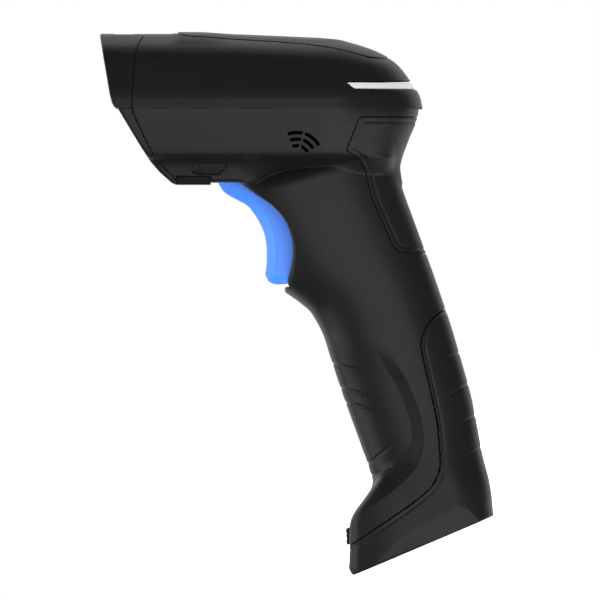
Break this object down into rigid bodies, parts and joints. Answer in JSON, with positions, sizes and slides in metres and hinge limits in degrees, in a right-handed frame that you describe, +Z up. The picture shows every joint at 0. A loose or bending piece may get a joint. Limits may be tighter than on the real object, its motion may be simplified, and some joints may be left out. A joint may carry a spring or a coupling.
{
  "type": "handheld barcode scanner",
  "caption": "Pistol-grip handheld barcode scanner with a window in its nose, a pull trigger, a rounded head with a light bar, and a latched battery cover behind the grip.",
  "frame": {"origin": "middle of the flat face under the foot", "axes": "+Z up from the foot, nose towards -X and tilted up 23 degrees, +Y to the right of a user who looks along the nose; symmetric about Y = 0 apart from the sound slots and screw holes"},
  "size_m": [0.0887, 0.0646, 0.1853],
  "materials": {
    "black_shell": "fine matte moulded texture",
    "black_rubber": "soft matte",
    "white_diffuser": "translucent satin",
    "blue_trigger": "satin gloss",
    "window": "dark tinted, polished",
    "steel": "plated",
    "inner_plastic": "plain moulded",
    "circuit_board": "solder mask",
    "chip_plastic": "moulded",
    "white_plastic": "plain moulded",
    "lens_glass": "coated lens",
    "led_lens": "clear dome",
    "flex_cable": "polyimide film",
    "battery_wrap": "shrink sleeve",
    "brass_contact": "plated"
  },
  "bodies": {
    "housing": {"upper_housing": "black_shell", "left_housing": "black_shell", "right_housing": "black_shell", "front_bezel": "black_shell", "top_panel": "black_shell", "web_pad": "black_rubber", "port_cover": "black_rubber", "light_bar": "white_diffuser", "scan_window": "window", "window_gasket": "black_rubber", "housing_screws": "steel", "inner_screws": "steel", "trigger_pin": "steel", "trigger_spring": "steel", "latch_spring": "steel", "switch_carrier": "inner_plastic", "switch_board": "circuit_board", "trigger_switch": "inner_plastic", "switch_dome": "black_rubber", "main_board": "circuit_board", "board_chips": "chip_plastic", "board_connectors": "white_plastic", "engine_bracket": "steel", "scan_engine": "inner_plastic", "engine_lens": "lens_glass", "engine_leds": "led_lens", "engine_cable": "flex_cable", "bar_leds": "led_lens", "bar_board": "circuit_board", "beeper": "chip_plastic", "port_board": "circuit_board", "charging_port": "steel", "battery_cell": "battery_wrap", "battery_tray": "inner_plastic", "top_contact": "brass_contact", "bottom_contact": "steel"},
    "trigger": {"trigger": "blue_trigger"},
    "battery_cover": {"battery_cover": "black_shell"},
    "cover_latch": {"cover_latch": "black_shell"}
  },
  "joints": [
    {"name": "trigger_pull", "type": "hinge", "parent": "housing", "child": "trigger", "pos_m": [-0.01006, 0, 0.12985], "axis": [0, -1, 0], "range_deg": [0, 5.5], "stiffness_Nm_per_rad": 1.2, "springref_deg": -2.86, "deforming": ["trigger_spring", "switch_dome"]},
    {"name": "latch_press", "type": "slide", "parent": "housing", "child": "cover_latch", "axis": [1, 0, 0], "range_m": [0, 0.0016], "stiffness_N_per_m": 900, "springref_m": -0.001, "deforming": ["latch_spring"]},
    {"name": "cover_open", "type": "hinge", "parent": "housing", "child": "battery_cover", "pos_m": [0.0351, 0, 0.0655], "axis": [0, -1, 0], "range_deg": [0, 40]}
  ]
}
